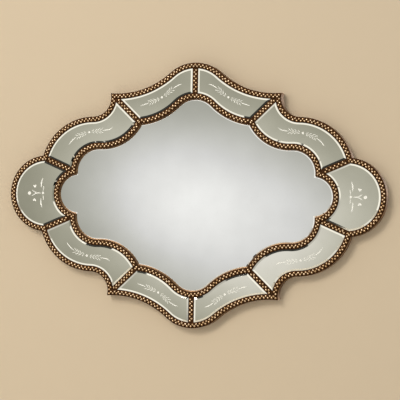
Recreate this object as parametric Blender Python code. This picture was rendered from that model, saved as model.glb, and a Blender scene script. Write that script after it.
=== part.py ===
"""Wall mirror: a lobed centre glass ringed by ten narrow mirror panels, all set
between beaded mouldings on a backing board, with two keyhole hangers behind.

X runs along the width, Z is up and the mirror faces -Y. The origin is the middle
of the back, on the plane that lies against the wall.
"""
import math

import bmesh
import bpy
from mathutils import Vector

# Outline of the whole mirror, in metres and degrees. Each quarter is a round lobe
# at the side, a notch, an S-curve out to a sharp cusp, and an S-curve up to the top.
OVERALL_WIDTH = 1.016
OVERALL_HEIGHT = 0.694
LOBE_RADIUS = 0.1015
LOBE_SWEEP = 83.7
NOTCH_HEADING = 106.5
CUSP_X = 0.2315
CUSP_Z = 0.2675
CUSP_HEADING_IN = 76.0
CUSP_HEADING_OUT = 185.0
SIDE_CURVE_RATIO = 0.59
TOP_CURVE_RATIO = 0.41

# Outline of the centre glass opening, drawn the same way
OPENING_WIDTH = 0.742
OPENING_HEIGHT = 0.5045
OPENING_LOBE_RADIUS = 0.0535
OPENING_LOBE_SWEEP = 83.0
OPENING_NOTCH_HEADING = 84.5
CORNER_X = 0.1475
CORNER_Z = 0.1855
CORNER_HEADING_IN = 118.0
CORNER_HEADING_OUT = 174.0
OPENING_SIDE_RATIO = 1.07
OPENING_TOP_RATIO = 0.42

# Depths, counted forward from the wall
OVERALL_DEPTH = 0.034
PANEL_SET_BACK = 0.002
CENTRE_SET_BACK = 0.0065
GLASS_THICKNESS = 0.004
BEVEL_WIDTH = 0.0065
BEVEL_DEPTH = 0.0016

# Beaded moulding: two staggered rows of round beads on a flat band
MOULDING_WIDTH = 0.015
BEAD_PITCH = 0.0103
BEAD_HEIGHT = 0.0035
BEAD_ROW_SPACING = 0.0044

# Keyhole hangers, let into the back of the board
HANGER_SPACING = 0.400
HANGER_RISE = 0.140
HANGER_WIDTH = 0.018
HANGER_LENGTH = 0.052
HANGER_THICKNESS = 0.0016
HANGER_CORNER = 0.004
KEYHOLE_DIAMETER = 0.0096
KEYHOLE_SLOT_WIDTH = 0.0050
KEYHOLE_SLOT_RISE = 0.0100
POCKET_WIDTH = 0.0130
POCKET_LENGTH = 0.0260
POCKET_DEPTH = 0.0080
SCREW_SPACING = 0.040
SCREW_SHANK_DIAMETER = 0.0030
SCREW_HEAD_DIAMETER = 0.0064
SCREW_HEAD_HEIGHT = 0.0018
SCREW_LENGTH = 0.0140

# Clearance between pieces that touch
GAP = 0.0003
SCREW_HOLE_DIAMETER = SCREW_SHANK_DIAMETER + 2 * GAP
HANGER_INSET = SCREW_HEAD_HEIGHT + 2 * GAP

# How finely curves are drawn
ARC_STEPS = 30
LOBE_PITCHES_PER_EDGE = 1
CURVE_PITCHES_PER_EDGE = 2
ROUND_SIDES = 12
SCREW_SIDES = 8

# Levels along Y, negative towards the room
CREST_Y = -OVERALL_DEPTH
BAND_Y = CREST_Y + BEAD_HEIGHT
PANEL_FRONT_Y = CREST_Y + PANEL_SET_BACK
CENTRE_FRONT_Y = CREST_Y + CENTRE_SET_BACK
BOARD_FRONT_Y = PANEL_FRONT_Y + GLASS_THICKNESS + GAP
CENTRE_FLOOR_Y = CENTRE_FRONT_Y + GLASS_THICKNESS + GAP
HANGER_BACK_Y = -HANGER_INSET
HANGER_FRONT_Y = HANGER_BACK_Y - HANGER_THICKNESS
RECESS_FLOOR_Y = HANGER_FRONT_Y - GAP


def heading_vector(heading):
    """Unit vector along a heading."""
    return Vector((math.cos(heading), math.sin(heading)))


def outward(heading):
    """Unit vector to the right of a heading, which is outwards on a counter-clockwise outline."""
    return Vector((math.sin(heading), -math.cos(heading)))


def wrapped(angle):
    """An angle brought between minus and plus half a turn."""
    return (angle + math.pi) % (2 * math.pi) - math.pi


def cross(a, b):
    """The Z part of the cross product of two flat vectors."""
    return a.x * b.y - a.y * b.x


def arc_run(start, heading, end):
    """Places and headings along the arc that leaves start on a heading and reaches end."""
    chord = end - start
    half = wrapped(math.atan2(chord.y, chord.x) - heading)
    places = []
    for step in range(ARC_STEPS + 1):
        turn = 2 * half * step / ARC_STEPS
        if abs(half) < 1e-9:
            place = start + chord * (step / ARC_STEPS)
        else:
            radius = chord.length / (2 * math.sin(half))
            place = start + radius * (outward(heading + turn) - outward(heading))
        places.append((place, heading + turn))
    return places


def s_curve_run(start, heading_in, end, heading_out, ratio):
    """Two arcs that meet smoothly, from start to end with a heading at each."""
    leave = heading_vector(heading_in)
    arrive = heading_vector(heading_out)
    chord = end - start
    reach = leave + arrive * ratio
    a = reach.dot(reach) - (1 + ratio) ** 2
    b = -2 * chord.dot(reach)
    c = chord.dot(chord)
    root = math.sqrt(b * b - 4 * a * c)
    first = max((-b - root) / (2 * a), (-b + root) / (2 * a))
    second = first * ratio
    near = start + leave * first
    far = end - arrive * second
    middle = (near * second + far * first) / (first + second)
    opening = arc_run(start, heading_in, middle)
    closing = arc_run(middle, opening[-1][1], end)
    return opening + closing[1:]


def lobe_run(half_width, radius, sweep):
    """The upper half of the right-hand lobe, from its outermost point up to the notch."""
    centre = Vector((half_width - radius, 0))
    places = []
    for step in range(ARC_STEPS + 1):
        angle = sweep * step / ARC_STEPS
        places.append((centre + radius * heading_vector(angle), angle + math.pi / 2))
    return places


def mirrored_left(run):
    """A run reflected to the other side of the middle, still counter-clockwise."""
    return [(Vector((-place.x, place.y)), -heading) for place, heading in reversed(run)]


def mirrored_down(run):
    """A run reflected below the middle, still counter-clockwise."""
    return [(Vector((place.x, -place.y)), math.pi - heading) for place, heading in reversed(run)]


def outline_runs(width, height, radius, sweep, notch_heading, corner, heading_in, heading_out,
                 side_ratio, top_ratio):
    """The eight smooth runs between the outline's corners, counter-clockwise from the right lobe."""
    lobe_top = lobe_run(width / 2, radius, math.radians(sweep))
    notch = lobe_top[-1][0]
    side = s_curve_run(notch, math.radians(notch_heading), corner, math.radians(heading_in), side_ratio)
    top_half = s_curve_run(corner, math.radians(heading_out), Vector((0, height / 2)), math.pi, top_ratio)
    lobe = mirrored_down(lobe_top) + lobe_top[1:]
    top = top_half + mirrored_left(top_half)[1:]
    return [
        lobe,
        side,
        top,
        mirrored_left(side),
        mirrored_left(lobe),
        mirrored_down(mirrored_left(side)),
        mirrored_down(top),
        mirrored_down(side),
    ]


def trimmed_start(places, corner, mitre):
    """A row of places cut where it first crosses the mitre line through a corner."""
    first_side = cross(mitre, places[0] - corner)
    for index in range(1, len(places)):
        here = cross(mitre, places[index] - corner)
        if (here > 0) != (first_side > 0):
            before = cross(mitre, places[index - 1] - corner)
            share = before / (before - here)
            crossing = places[index - 1].lerp(places[index], share)
            return [crossing] + places[index:]
    return places


def offset_runs(runs, distance):
    """Each run moved outwards by a distance and mitred to the next one at the corners."""
    moved = []
    reach = 4 * abs(distance)
    for run in runs:
        places = [place + outward(heading) * distance for place, heading in run]
        if reach:
            places.insert(0, places[0] - heading_vector(run[0][1]) * reach)
            places.append(places[-1] + heading_vector(run[-1][1]) * reach)
        moved.append(places)
    if not reach:
        return moved
    for index, run in enumerate(runs):
        last = runs[index - 1]
        turn = wrapped(run[0][1] - last[-1][1])
        mitre = outward(last[-1][1] + turn / 2)
        corner = run[0][0]
        ending = trimmed_start(moved[index - 1][::-1], corner, mitre)[::-1]
        opening = trimmed_start(moved[index], corner, mitre)
        meeting = (ending[-1] + opening[0]) / 2
        moved[index - 1] = ending[:-1] + [meeting]
        moved[index] = [meeting] + opening[1:]
    return moved


def spaced(places, count):
    """Shares and places, evenly spaced along a row of places."""
    travelled = [0.0]
    for a, b in zip(places, places[1:]):
        travelled.append(travelled[-1] + (b - a).length)
    result = []
    index = 0
    for step in range(count + 1):
        share = step / count
        goal = share * travelled[-1]
        while index < len(places) - 2 and travelled[index + 1] < goal:
            index += 1
        stretch = travelled[index + 1] - travelled[index]
        part = (goal - travelled[index]) / stretch if stretch else 0.0
        result.append((share, places[index].lerp(places[index + 1], part)))
    return result


def run_length(run):
    """Length along a run."""
    return sum((b[0] - a[0]).length for a, b in zip(run, run[1:]))


class Outline:
    """An outline with its bead count and the spacing of its straight facets on each run."""

    def __init__(self, runs):
        self.runs = runs
        self.pitches = []
        self.facets = []
        for index, run in enumerate(runs):
            pitches = 2 * max(1, round(run_length(run) / BEAD_PITCH / 2))
            per_edge = LOBE_PITCHES_PER_EDGE if index in (0, 4) else CURVE_PITCHES_PER_EDGE
            self.pitches.append(pitches)
            self.facets.append(pitches // per_edge)

    def edge(self, distance):
        """The facetted edge at a distance outwards, one list of shares and places for each run."""
        rows = []
        for places, facets in zip(offset_runs(self.runs, distance), self.facets):
            rows.append(spaced(places, facets))
        return rows

    def loop(self, distance):
        """The facetted edge at a distance outwards, as one closed list of places."""
        return [place for row in self.edge(distance) for share, place in row[:-1]]

    def corner(self, number, distance):
        """The corner before a run, moved outwards by a distance."""
        return offset_runs(self.runs, distance)[number][0]


RIM_OUTLINE = Outline(outline_runs(
    OVERALL_WIDTH, OVERALL_HEIGHT, LOBE_RADIUS, LOBE_SWEEP, NOTCH_HEADING, Vector((CUSP_X, CUSP_Z)),
    CUSP_HEADING_IN, CUSP_HEADING_OUT, SIDE_CURVE_RATIO, TOP_CURVE_RATIO))
OPENING_OUTLINE = Outline(outline_runs(
    OPENING_WIDTH, OPENING_HEIGHT, OPENING_LOBE_RADIUS, OPENING_LOBE_SWEEP, OPENING_NOTCH_HEADING,
    Vector((CORNER_X, CORNER_Z)), CORNER_HEADING_IN, CORNER_HEADING_OUT, OPENING_SIDE_RATIO,
    OPENING_TOP_RATIO))

# The field between the two mouldings, where dividers and panels lie
FIELD_OUTER = RIM_OUTLINE.loop(-MOULDING_WIDTH - GAP)
FIELD_INNER = OPENING_OUTLINE.loop(MOULDING_WIDTH + GAP)


def clear_scene():
    """Remove every object that the scene starts with."""
    for old in list(bpy.data.objects):
        bpy.data.objects.remove(old, do_unlink=True)


def material(name, colour, roughness, metallic):
    """A plain shader with a colour, a roughness and a metallic value."""
    made = bpy.data.materials.new(name)
    made.use_nodes = True
    shader = made.node_tree.nodes["Principled BSDF"]
    shader.inputs["Base Color"].default_value = (*colour, 1)
    shader.inputs["Roughness"].default_value = roughness
    shader.inputs["Metallic"].default_value = metallic
    return made


def add_object(name, bm, surface):
    """Close a mesh up, turn its faces outwards and put it in the scene."""
    bmesh.ops.remove_doubles(bm, verts=bm.verts, dist=1e-5)
    bmesh.ops.recalc_face_normals(bm, faces=bm.faces)
    mesh = bpy.data.meshes.new(name)
    bm.to_mesh(mesh)
    bm.free()
    mesh.materials.append(surface)
    made = bpy.data.objects.new(name, mesh)
    bpy.context.scene.collection.objects.link(made)
    return made


def corners_at(bm, places, level):
    """New corners of a mesh for shares and places, all at one level or at a level each."""
    levels = level if isinstance(level, list) else [level] * len(places)
    return [(share, bm.verts.new((place.x, y, place.y))) for (share, place), y in zip(places, levels)]


def lace(bm, first, second):
    """Fill between two rows of corners with triangles, keeping the cross ties short and low."""
    i = 0
    j = 0
    while i < len(first) - 1 or j < len(second) - 1:
        here = first[i][1]
        there = second[j][1]
        if i == len(first) - 1:
            step_first = False
        elif j == len(second) - 1:
            step_first = True
        else:
            step_first = tie(first[i + 1][1], there) <= tie(here, second[j + 1][1])
        if step_first:
            i += 1
            bm.faces.new((here, first[i][1], there))
        else:
            j += 1
            bm.faces.new((here, second[j][1], there))


def tie(a, b):
    """How long a cross tie is, counting one that leaves a bead's crest as longer."""
    lift = (BAND_Y - a.co.y) + (BAND_Y - b.co.y)
    return (a.co - b.co).length + max(0.0, lift)


def close_down(bm, level, ring):
    """Give an open front its side walls down to a level, and close it there."""
    rim = [edge for edge in bm.edges if edge.is_boundary]
    grown = bmesh.ops.extrude_edge_only(bm, edges=rim)["geom"]
    for corner in grown:
        if isinstance(corner, bmesh.types.BMVert):
            corner.co.y = level
    foot = [edge for edge in grown if isinstance(edge, bmesh.types.BMEdge) and edge.is_boundary]
    if ring:
        bmesh.ops.bridge_loops(bm, edges=foot)
    else:
        bmesh.ops.edgeloop_fill(bm, edges=foot)


def beaded_levels(count, crest_first):
    """Levels along a bead row at half-pitch steps: crest, hollow, crest, and so on."""
    return [CREST_Y if (step % 2 == 0) == crest_first else BAND_Y for step in range(count)]


def make_ring(name, outline, outer_distance, foot_y, surface):
    """A beaded moulding right round an outline, its band running inwards from a distance."""
    bm = bmesh.new()
    middle = outer_distance - MOULDING_WIDTH / 2
    outer_edge = outline.edge(outer_distance)
    inner_edge = outline.edge(outer_distance - MOULDING_WIDTH)
    outer_beads = offset_runs(outline.runs, middle + BEAD_ROW_SPACING / 2)
    inner_beads = offset_runs(outline.runs, middle - BEAD_ROW_SPACING / 2)
    for number, pitches in enumerate(outline.pitches):
        steps = 2 * pitches
        rows = [
            corners_at(bm, outer_edge[number], BAND_Y),
            corners_at(bm, spaced(outer_beads[number], steps), beaded_levels(steps + 1, True)),
            corners_at(bm, spaced(inner_beads[number], steps), beaded_levels(steps + 1, False)),
            corners_at(bm, inner_edge[number], BAND_Y),
        ]
        for first, second in zip(rows, rows[1:]):
            lace(bm, first, second)
    bmesh.ops.remove_doubles(bm, verts=bm.verts, dist=1e-5)
    close_down(bm, foot_y, ring=True)
    return add_object(name, bm, surface)


class Line:
    """A straight line through a place, along a direction that points outwards."""

    def __init__(self, inner_end, outer_end):
        self.inner_end = inner_end
        self.outer_end = outer_end
        self.along = (outer_end - inner_end).normalized()

    def beside(self, distance):
        """The same line moved to its left."""
        shift = Vector((-self.along.y, self.along.x)) * distance
        return Line(self.inner_end + shift, self.outer_end + shift)

    def reach(self, place):
        """How far along the line a place lies, from the inner end."""
        return (place - self.inner_end).dot(self.along)


def crossing(loop, line, near):
    """Where a closed loop crosses a line, nearest to a place: position along the loop and place."""
    found = []
    for index, here in enumerate(loop):
        there = loop[(index + 1) % len(loop)]
        a = cross(line.along, here - line.inner_end)
        b = cross(line.along, there - line.inner_end)
        if (a > 0) != (b > 0):
            share = a / (a - b)
            place = here.lerp(there, share)
            found.append(((place - near).length, index + share, place))
    distance, position, place = min(found, key=lambda entry: entry[0])
    return position, place


def chain(loop, right, left, outer):
    """The part of a loop between two lines, counter-clockwise, with its ends on the lines."""
    start, first = crossing(loop, right, right.outer_end if outer else right.inner_end)
    stop, last = crossing(loop, left, left.outer_end if outer else left.inner_end)
    count = len(loop)
    if stop < start:
        stop += count
    places = [first]
    for index in range(math.floor(start) + 1, math.ceil(stop)):
        places.append(loop[index % count])
    places.append(last)
    return places


def with_shares(places):
    """A row of places with the share of its length that each one lies at."""
    lengths = [0.0]
    for a, b in zip(places, places[1:]):
        lengths.append(lengths[-1] + (b - a).length)
    return [(length / lengths[-1], place) for length, place in zip(lengths, places)]


def divider_line(rim_corner, opening_corner):
    """The middle line of a divider, between the middles of the two mouldings."""
    inner_end = OPENING_OUTLINE.corner(opening_corner, MOULDING_WIDTH / 2)
    outer_end = RIM_OUTLINE.corner(rim_corner, -MOULDING_WIDTH / 2)
    return Line(inner_end, outer_end)


def middle_line(sign):
    """The middle line of the upright divider at the top or the bottom."""
    inner_end = Vector((0, sign * (OPENING_HEIGHT / 2 + MOULDING_WIDTH / 2)))
    outer_end = Vector((0, sign * (OVERALL_HEIGHT / 2 - MOULDING_WIDTH / 2)))
    return Line(inner_end, outer_end)


# The ten dividers, counter-clockwise from the one above the right lobe
DIVIDERS = [
    ("divider_lobe_upper_right", divider_line(1, 1)),
    ("divider_corner_upper_right", divider_line(2, 2)),
    ("divider_top", middle_line(1)),
    ("divider_corner_upper_left", divider_line(3, 3)),
    ("divider_lobe_upper_left", divider_line(4, 4)),
    ("divider_lobe_lower_left", divider_line(5, 5)),
    ("divider_corner_lower_left", divider_line(6, 6)),
    ("divider_bottom", middle_line(-1)),
    ("divider_corner_lower_right", divider_line(7, 7)),
    ("divider_lobe_lower_right", divider_line(0, 0)),
]

# The ten panels, each between the divider of the same place in the list and the next
PANEL_NAMES = [
    "panel_side_upper_right",
    "panel_top_right",
    "panel_top_left",
    "panel_side_upper_left",
    "panel_lobe_left",
    "panel_side_lower_left",
    "panel_bottom_left",
    "panel_bottom_right",
    "panel_side_lower_right",
    "panel_lobe_right",
]


def make_divider(name, line, surface):
    """A short beaded bar across the field, with flat ends shaped to the mouldings that it meets."""
    bm = bmesh.new()
    half = MOULDING_WIDTH / 2
    right = line.beside(-half)
    left = line.beside(half)
    inner_tip = chain(FIELD_INNER, right, left, False)
    outer_tip = chain(FIELD_OUTER, right, left, True)
    start = max(line.reach(place) for place in inner_tip) + GAP
    stop = min(line.reach(place) for place in outer_tip) - GAP
    pitches = max(2, round((stop - start) / BEAD_PITCH))
    edge_steps = max(1, round(pitches / 4))
    rows = []
    for number, shift in enumerate((-half, -BEAD_ROW_SPACING / 2, BEAD_ROW_SPACING / 2, half)):
        side = line.beside(shift)
        beads = number in (1, 2)
        steps = 2 * pitches if beads else edge_steps
        levels = beaded_levels(steps + 1, number == 2) if beads else [BAND_Y] * (steps + 1)
        levels[0] = BAND_Y
        levels[-1] = BAND_Y
        ends = [side.inner_end + side.along * start, side.inner_end + side.along * stop]
        rows.append(corners_at(bm, spaced(ends, steps), levels))
    for first, second in zip(rows, rows[1:]):
        lace(bm, first, second)
    for tip, place in ((inner_tip, 0), (outer_tip, -1)):
        corners = [bm.verts.new((spot.x, BAND_Y, spot.y)) for spot in tip]
        bm.faces.new(corners + [row[place][1] for row in reversed(rows)])
    bmesh.ops.recalc_face_normals(bm, faces=bm.faces)
    close_down(bm, BOARD_FRONT_Y - GAP, ring=False)
    return add_object(name, bm, surface)


def panel_chains(right_divider, left_divider, inset):
    """The four sides of a panel's outline, set in from its neighbours by a gap and more."""
    half = MOULDING_WIDTH / 2 + GAP + inset
    right = right_divider.beside(half)
    left = left_divider.beside(-half)
    outer_loop = RIM_OUTLINE.loop(-MOULDING_WIDTH - GAP - inset)
    inner_loop = OPENING_OUTLINE.loop(MOULDING_WIDTH + GAP + inset)
    outer = chain(outer_loop, right, left, True)
    inner = chain(inner_loop, right, left, False)
    return [outer, [outer[-1], inner[-1]], inner[::-1], [inner[0], outer[0]]]


def make_panel(name, right_divider, left_divider, surface):
    """One bevelled mirror panel between two dividers."""
    bm = bmesh.new()
    feet = panel_chains(right_divider, left_divider, 0.0)
    crests = panel_chains(right_divider, left_divider, BEVEL_WIDTH)
    face_corners = []
    for foot, crest in zip(feet, crests):
        foot_row = corners_at(bm, with_shares(foot), PANEL_FRONT_Y + BEVEL_DEPTH)
        crest_row = corners_at(bm, with_shares(crest), PANEL_FRONT_Y)
        lace(bm, foot_row, crest_row)
        face_corners.extend(corner for share, corner in crest_row[:-1])
    bm.faces.new(face_corners)
    bmesh.ops.remove_doubles(bm, verts=bm.verts, dist=1e-5)
    close_down(bm, PANEL_FRONT_Y + GLASS_THICKNESS, ring=False)
    return add_object(name, bm, surface)


def make_centre_glass(surface):
    """The large bevelled glass in the middle."""
    bm = bmesh.new()
    foot_rows = OPENING_OUTLINE.edge(-GAP)
    crest_rows = OPENING_OUTLINE.edge(-GAP - BEVEL_WIDTH)
    face_corners = []
    for foot, crest in zip(foot_rows, crest_rows):
        foot_row = corners_at(bm, foot, CENTRE_FRONT_Y + BEVEL_DEPTH)
        crest_row = corners_at(bm, crest, CENTRE_FRONT_Y)
        lace(bm, foot_row, crest_row)
        face_corners.extend(corner for share, corner in crest_row[:-1])
    bm.faces.new(face_corners)
    bmesh.ops.remove_doubles(bm, verts=bm.verts, dist=1e-5)
    close_down(bm, CENTRE_FRONT_Y + GLASS_THICKNESS, ring=False)
    return add_object("centre_glass", bm, surface)


def box_mesh(width, length, near_y, far_y):
    """An upright box between two levels, centred on the hanger's place."""
    bm = bmesh.new()
    bmesh.ops.create_cube(bm, size=1)
    middle = Vector((0, (near_y + far_y) / 2, 0))
    for corner in bm.verts:
        corner.co = Vector((corner.co.x * width, corner.co.y * abs(far_y - near_y), corner.co.z * length))
        corner.co += middle
    return bm


def rod_mesh(radius, near_y, far_y, rise, sides):
    """A round rod between two levels, standing off the back at a height."""
    bm = bmesh.new()
    bmesh.ops.create_cone(bm, cap_ends=True, segments=sides, radius1=radius, radius2=radius,
                          depth=abs(far_y - near_y))
    for corner in bm.verts:
        x, y, z = corner.co
        corner.co = Vector((x, (near_y + far_y) / 2 - z, y + rise))
    return bm


def cut(target, name, bm, place):
    """Cut a shape out of an object with a hidden cutter."""
    cutter = add_object(name, bm, target.data.materials[0])
    cutter.location = place
    cutter.hide_render = True
    cutter.display_type = "WIRE"
    carve = target.modifiers.new(name, "BOOLEAN")
    carve.operation = "DIFFERENCE"
    carve.solver = "EXACT"
    carve.object = cutter


def hanger_place(side):
    """The middle of a hanger, on the plane of the wall."""
    return Vector((side * HANGER_SPACING / 2, 0, HANGER_RISE))


def make_board(surface):
    """The backing board: a shallow bed in front for the centre glass and its moulding, and behind
    a recess and a pocket for each hanger and holes for its screws."""
    bm = bmesh.new()
    bm.faces.new([bm.verts.new((place.x, BOARD_FRONT_Y, place.y)) for place in FIELD_OUTER])
    close_down(bm, 0.0, ring=False)
    board = add_object("backing_board", bm, surface)
    bed = bmesh.new()
    bed.faces.new([bed.verts.new((place.x, CENTRE_FLOOR_Y, place.y)) for place in FIELD_INNER])
    close_down(bed, CREST_Y, ring=False)
    cut(board, "centre_bed", bed, Vector((0, 0, 0)))
    pocket_floor = RECESS_FLOOR_Y - POCKET_DEPTH
    pilot_floor = HANGER_BACK_Y - SCREW_LENGTH - GAP
    for side, word in ((-1, "left"), (1, "right")):
        place = hanger_place(side)
        recess = box_mesh(HANGER_WIDTH + 2 * GAP, HANGER_LENGTH + 2 * GAP, GAP, RECESS_FLOOR_Y)
        cut(board, "recess_" + word, recess, place)
        pocket = box_mesh(POCKET_WIDTH, POCKET_LENGTH, HANGER_BACK_Y, pocket_floor)
        cut(board, "pocket_" + word, pocket, place)
        for rise, end in ((SCREW_SPACING / 2, "top"), (-SCREW_SPACING / 2, "bottom")):
            pilot = rod_mesh(SCREW_HOLE_DIAMETER / 2, HANGER_BACK_Y, pilot_floor, rise, SCREW_SIDES)
            cut(board, "pilot_" + word + "_" + end, pilot, place)
    return board


def make_hanger(word, side, surface):
    """A flat steel plate with a keyhole and two screw holes."""
    bm = bmesh.new()
    corners = []
    for number in range(4):
        quarter = math.pi / 2 * number
        for step in range(3):
            turn = quarter + math.pi / 4 * step
            x = (HANGER_WIDTH / 2 - HANGER_CORNER) * (1 if number in (0, 3) else -1)
            z = (HANGER_LENGTH / 2 - HANGER_CORNER) * (1 if number < 2 else -1)
            x += HANGER_CORNER * math.cos(turn)
            z += HANGER_CORNER * math.sin(turn)
            corners.append(bm.verts.new((x, HANGER_FRONT_Y, z)))
    bm.faces.new(corners)
    close_down(bm, HANGER_BACK_Y, ring=False)
    plate = add_object("hanger_" + word, bm, surface)
    plate.location = hanger_place(side)
    near = HANGER_BACK_Y + HANGER_THICKNESS
    far = HANGER_FRONT_Y - HANGER_THICKNESS
    drop = KEYHOLE_SLOT_RISE / 2
    head = rod_mesh(KEYHOLE_DIAMETER / 2, near, far, -drop, ROUND_SIDES)
    cut(plate, "keyhole_" + word, head, plate.location)
    slot = box_mesh(KEYHOLE_SLOT_WIDTH, KEYHOLE_SLOT_RISE, near, far)
    cut(plate, "slot_" + word, slot, plate.location)
    slot_end = rod_mesh(KEYHOLE_SLOT_WIDTH / 2, near, far, drop, ROUND_SIDES)
    cut(plate, "slot_end_" + word, slot_end, plate.location)
    for rise, end in ((SCREW_SPACING / 2, "top"), (-SCREW_SPACING / 2, "bottom")):
        hole = rod_mesh(SCREW_HOLE_DIAMETER / 2, near, far, rise, SCREW_SIDES)
        cut(plate, "screw_hole_" + word + "_" + end, hole, plate.location)
    return plate


def make_screw(name, place, surface):
    """A small pan-head screw, driven forward into the board."""
    seat = HANGER_BACK_Y + GAP
    bm = bmesh.new()
    profile = [
        (0, seat + SCREW_HEAD_HEIGHT),
        (SCREW_HEAD_DIAMETER / 2, seat + SCREW_HEAD_HEIGHT),
        (SCREW_HEAD_DIAMETER / 2, seat),
        (SCREW_SHANK_DIAMETER / 2, seat),
        (SCREW_SHANK_DIAMETER / 2, seat - SCREW_LENGTH),
        (0, seat - SCREW_LENGTH),
    ]
    corners = [bm.verts.new((x, y, 0)) for x, y in profile]
    edges = [bm.edges.new(pair) for pair in zip(corners, corners[1:])]
    bmesh.ops.spin(bm, geom=corners + edges, axis=(0, 1, 0), cent=(0, 0, 0), steps=SCREW_SIDES,
                   angle=2 * math.pi)
    screw = add_object(name, bm, surface)
    screw.location = place
    return screw


def build():
    """Make every piece of the mirror."""
    clear_scene()
    bronze = material("antique bronze finish", (0.235, 0.150, 0.075), 0.42, 0.85)
    silvered = material("silvered mirror glass", (0.80, 0.81, 0.78), 0.04, 1.0)
    smoked = material("etched mirror glass", (0.66, 0.67, 0.62), 0.06, 1.0)
    painted = material("black painted fibreboard", (0.020, 0.019, 0.018), 0.70, 0.0)
    steel = material("zinc plated steel", (0.55, 0.56, 0.57), 0.35, 1.0)

    make_board(painted)
    make_ring("outer_rim", RIM_OUTLINE, 0.0, 0.0, bronze)
    make_ring("inner_rim", OPENING_OUTLINE, MOULDING_WIDTH, CENTRE_FLOOR_Y - GAP, bronze)
    for name, line in DIVIDERS:
        make_divider(name, line, bronze)
    for number, name in enumerate(PANEL_NAMES):
        make_panel(name, DIVIDERS[number][1], DIVIDERS[(number + 1) % len(DIVIDERS)][1], smoked)
    make_centre_glass(silvered)
    for side, word in ((-1, "left"), (1, "right")):
        make_hanger(word, side, steel)
        for rise, end in ((SCREW_SPACING / 2, "top"), (-SCREW_SPACING / 2, "bottom")):
            place = hanger_place(side) + Vector((0, 0, rise))
            make_screw("hanger_screw_" + word + "_" + end, place, steel)


build()
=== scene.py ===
import math

import bmesh
import bpy
from mathutils import Matrix, Vector


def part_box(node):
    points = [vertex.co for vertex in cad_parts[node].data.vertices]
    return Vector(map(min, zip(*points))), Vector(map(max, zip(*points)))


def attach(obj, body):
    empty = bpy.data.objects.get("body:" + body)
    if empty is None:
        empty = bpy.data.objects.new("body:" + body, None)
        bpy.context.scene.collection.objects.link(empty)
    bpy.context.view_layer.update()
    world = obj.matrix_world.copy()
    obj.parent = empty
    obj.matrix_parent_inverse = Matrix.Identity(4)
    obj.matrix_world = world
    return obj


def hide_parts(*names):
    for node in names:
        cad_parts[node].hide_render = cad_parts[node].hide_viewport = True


# A lobed wall mirror: antique bronze beaded mouldings, bevelled mirror panels with
# wheel-cut sprigs, and a large bevelled centre glass. X is the width, Z is up and the
# mirror faces -Y. Sizes are in metres. Named angles are in degrees, and the headings
# that the outline functions work with are in radians.

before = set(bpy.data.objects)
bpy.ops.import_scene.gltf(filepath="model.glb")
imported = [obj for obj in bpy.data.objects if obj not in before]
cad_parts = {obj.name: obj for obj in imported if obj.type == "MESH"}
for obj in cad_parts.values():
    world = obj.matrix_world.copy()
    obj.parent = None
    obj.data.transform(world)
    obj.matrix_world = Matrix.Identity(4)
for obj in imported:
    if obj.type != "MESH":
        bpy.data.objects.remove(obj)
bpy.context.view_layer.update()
bpy.ops.object.select_all(action="DESELECT")
FULL_LOW, FULL_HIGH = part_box("outer_rim")
BOARD_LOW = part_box("backing_board")[0]
RING_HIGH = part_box("inner_rim")[1]
CENTRE_LOW, CENTRE_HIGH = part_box("centre_glass")
PANEL_LOW, PANEL_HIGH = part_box("panel_lobe_left")

# Outline of the whole mirror, one quarter of it: lobe, notch, S-curve to the cusp, S-curve to the top
OVERALL_WIDTH = FULL_HIGH[0] - FULL_LOW[0]
OVERALL_HEIGHT = FULL_HIGH[2] - FULL_LOW[2]
LOBE_RADIUS = 0.1015
LOBE_SWEEP = 83.7
NOTCH_HEADING = 106.5
CUSP = (0.2315, 0.2675)
CUSP_HEADINGS = (76.0, 185.0)
CURVE_RATIOS = (0.59, 0.41)

# Outline of the opening around the centre glass, drawn the same way
OPENING_WIDTH = 0.742
OPENING_HEIGHT = 0.5045
OPENING_LOBE_RADIUS = 0.0535
OPENING_LOBE_SWEEP = 83.0
OPENING_NOTCH_HEADING = 84.5
CORNER = (0.1475, 0.1855)
CORNER_HEADINGS = (118.0, 174.0)
OPENING_CURVE_RATIOS = (1.07, 0.42)

# Levels along Y, negative towards the room
CREST_Y = FULL_LOW[1]
BOARD_FRONT_Y = BOARD_LOW[1]
RING_FOOT_Y = RING_HIGH[1]
CENTRE_FRONT_Y = CENTRE_LOW[1]
CENTRE_BACK_Y = CENTRE_HIGH[1]
PANEL_FRONT_Y = PANEL_LOW[1]
PANEL_BACK_Y = PANEL_HIGH[1]

# Beaded moulding. Its patina is darkest a little behind the band that carries the beads
MOULDING_WIDTH = 0.015
BEAD_PITCH = 0.0103
BEAD_DIAMETER = 0.0070
BEAD_ROW_SPACING = 0.0044
BEAD_SIDES = 12
BEAD_RINGS = 8
BEAD_SINK = 0.0003
BAND_Y = CREST_Y + BEAD_DIAMETER / 2
SHOULDER = 0.0008
DARKEST_Y = BAND_Y + 0.0006

# How far beads keep from a mitre, from one another at a corner and from a divider's end, the slack
# they have there, and how many more are tried at each end of a divider
MITRE_CLEARANCE = 0.40 * BEAD_DIAMETER
CORNER_CLEARANCE = 0.85 * BEAD_DIAMETER
END_MARGIN = 0.62 * BEAD_DIAMETER
END_SLACK = 0.001
SPARE_BEADS = 2

# Bevelled glass, and the gap between a glass or a divider and what is beside it
GAP = 0.0003
BEVEL_WIDTH = 0.0042
BEVEL_DEPTH = 0.0016

# How finely curves are drawn. A divider or a panel has steps along its outer side, each end and its
# inner side. Corners closer together than the last value are one
ARC_STEPS = 40
CURVE_STEP = 0.003
DIVIDER_STEPS = (8, 12, 8)
PANEL_STEPS = (96, 16, 72)
STROKE_SIDES = 8
SAME_PLACE = 1e-6

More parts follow.
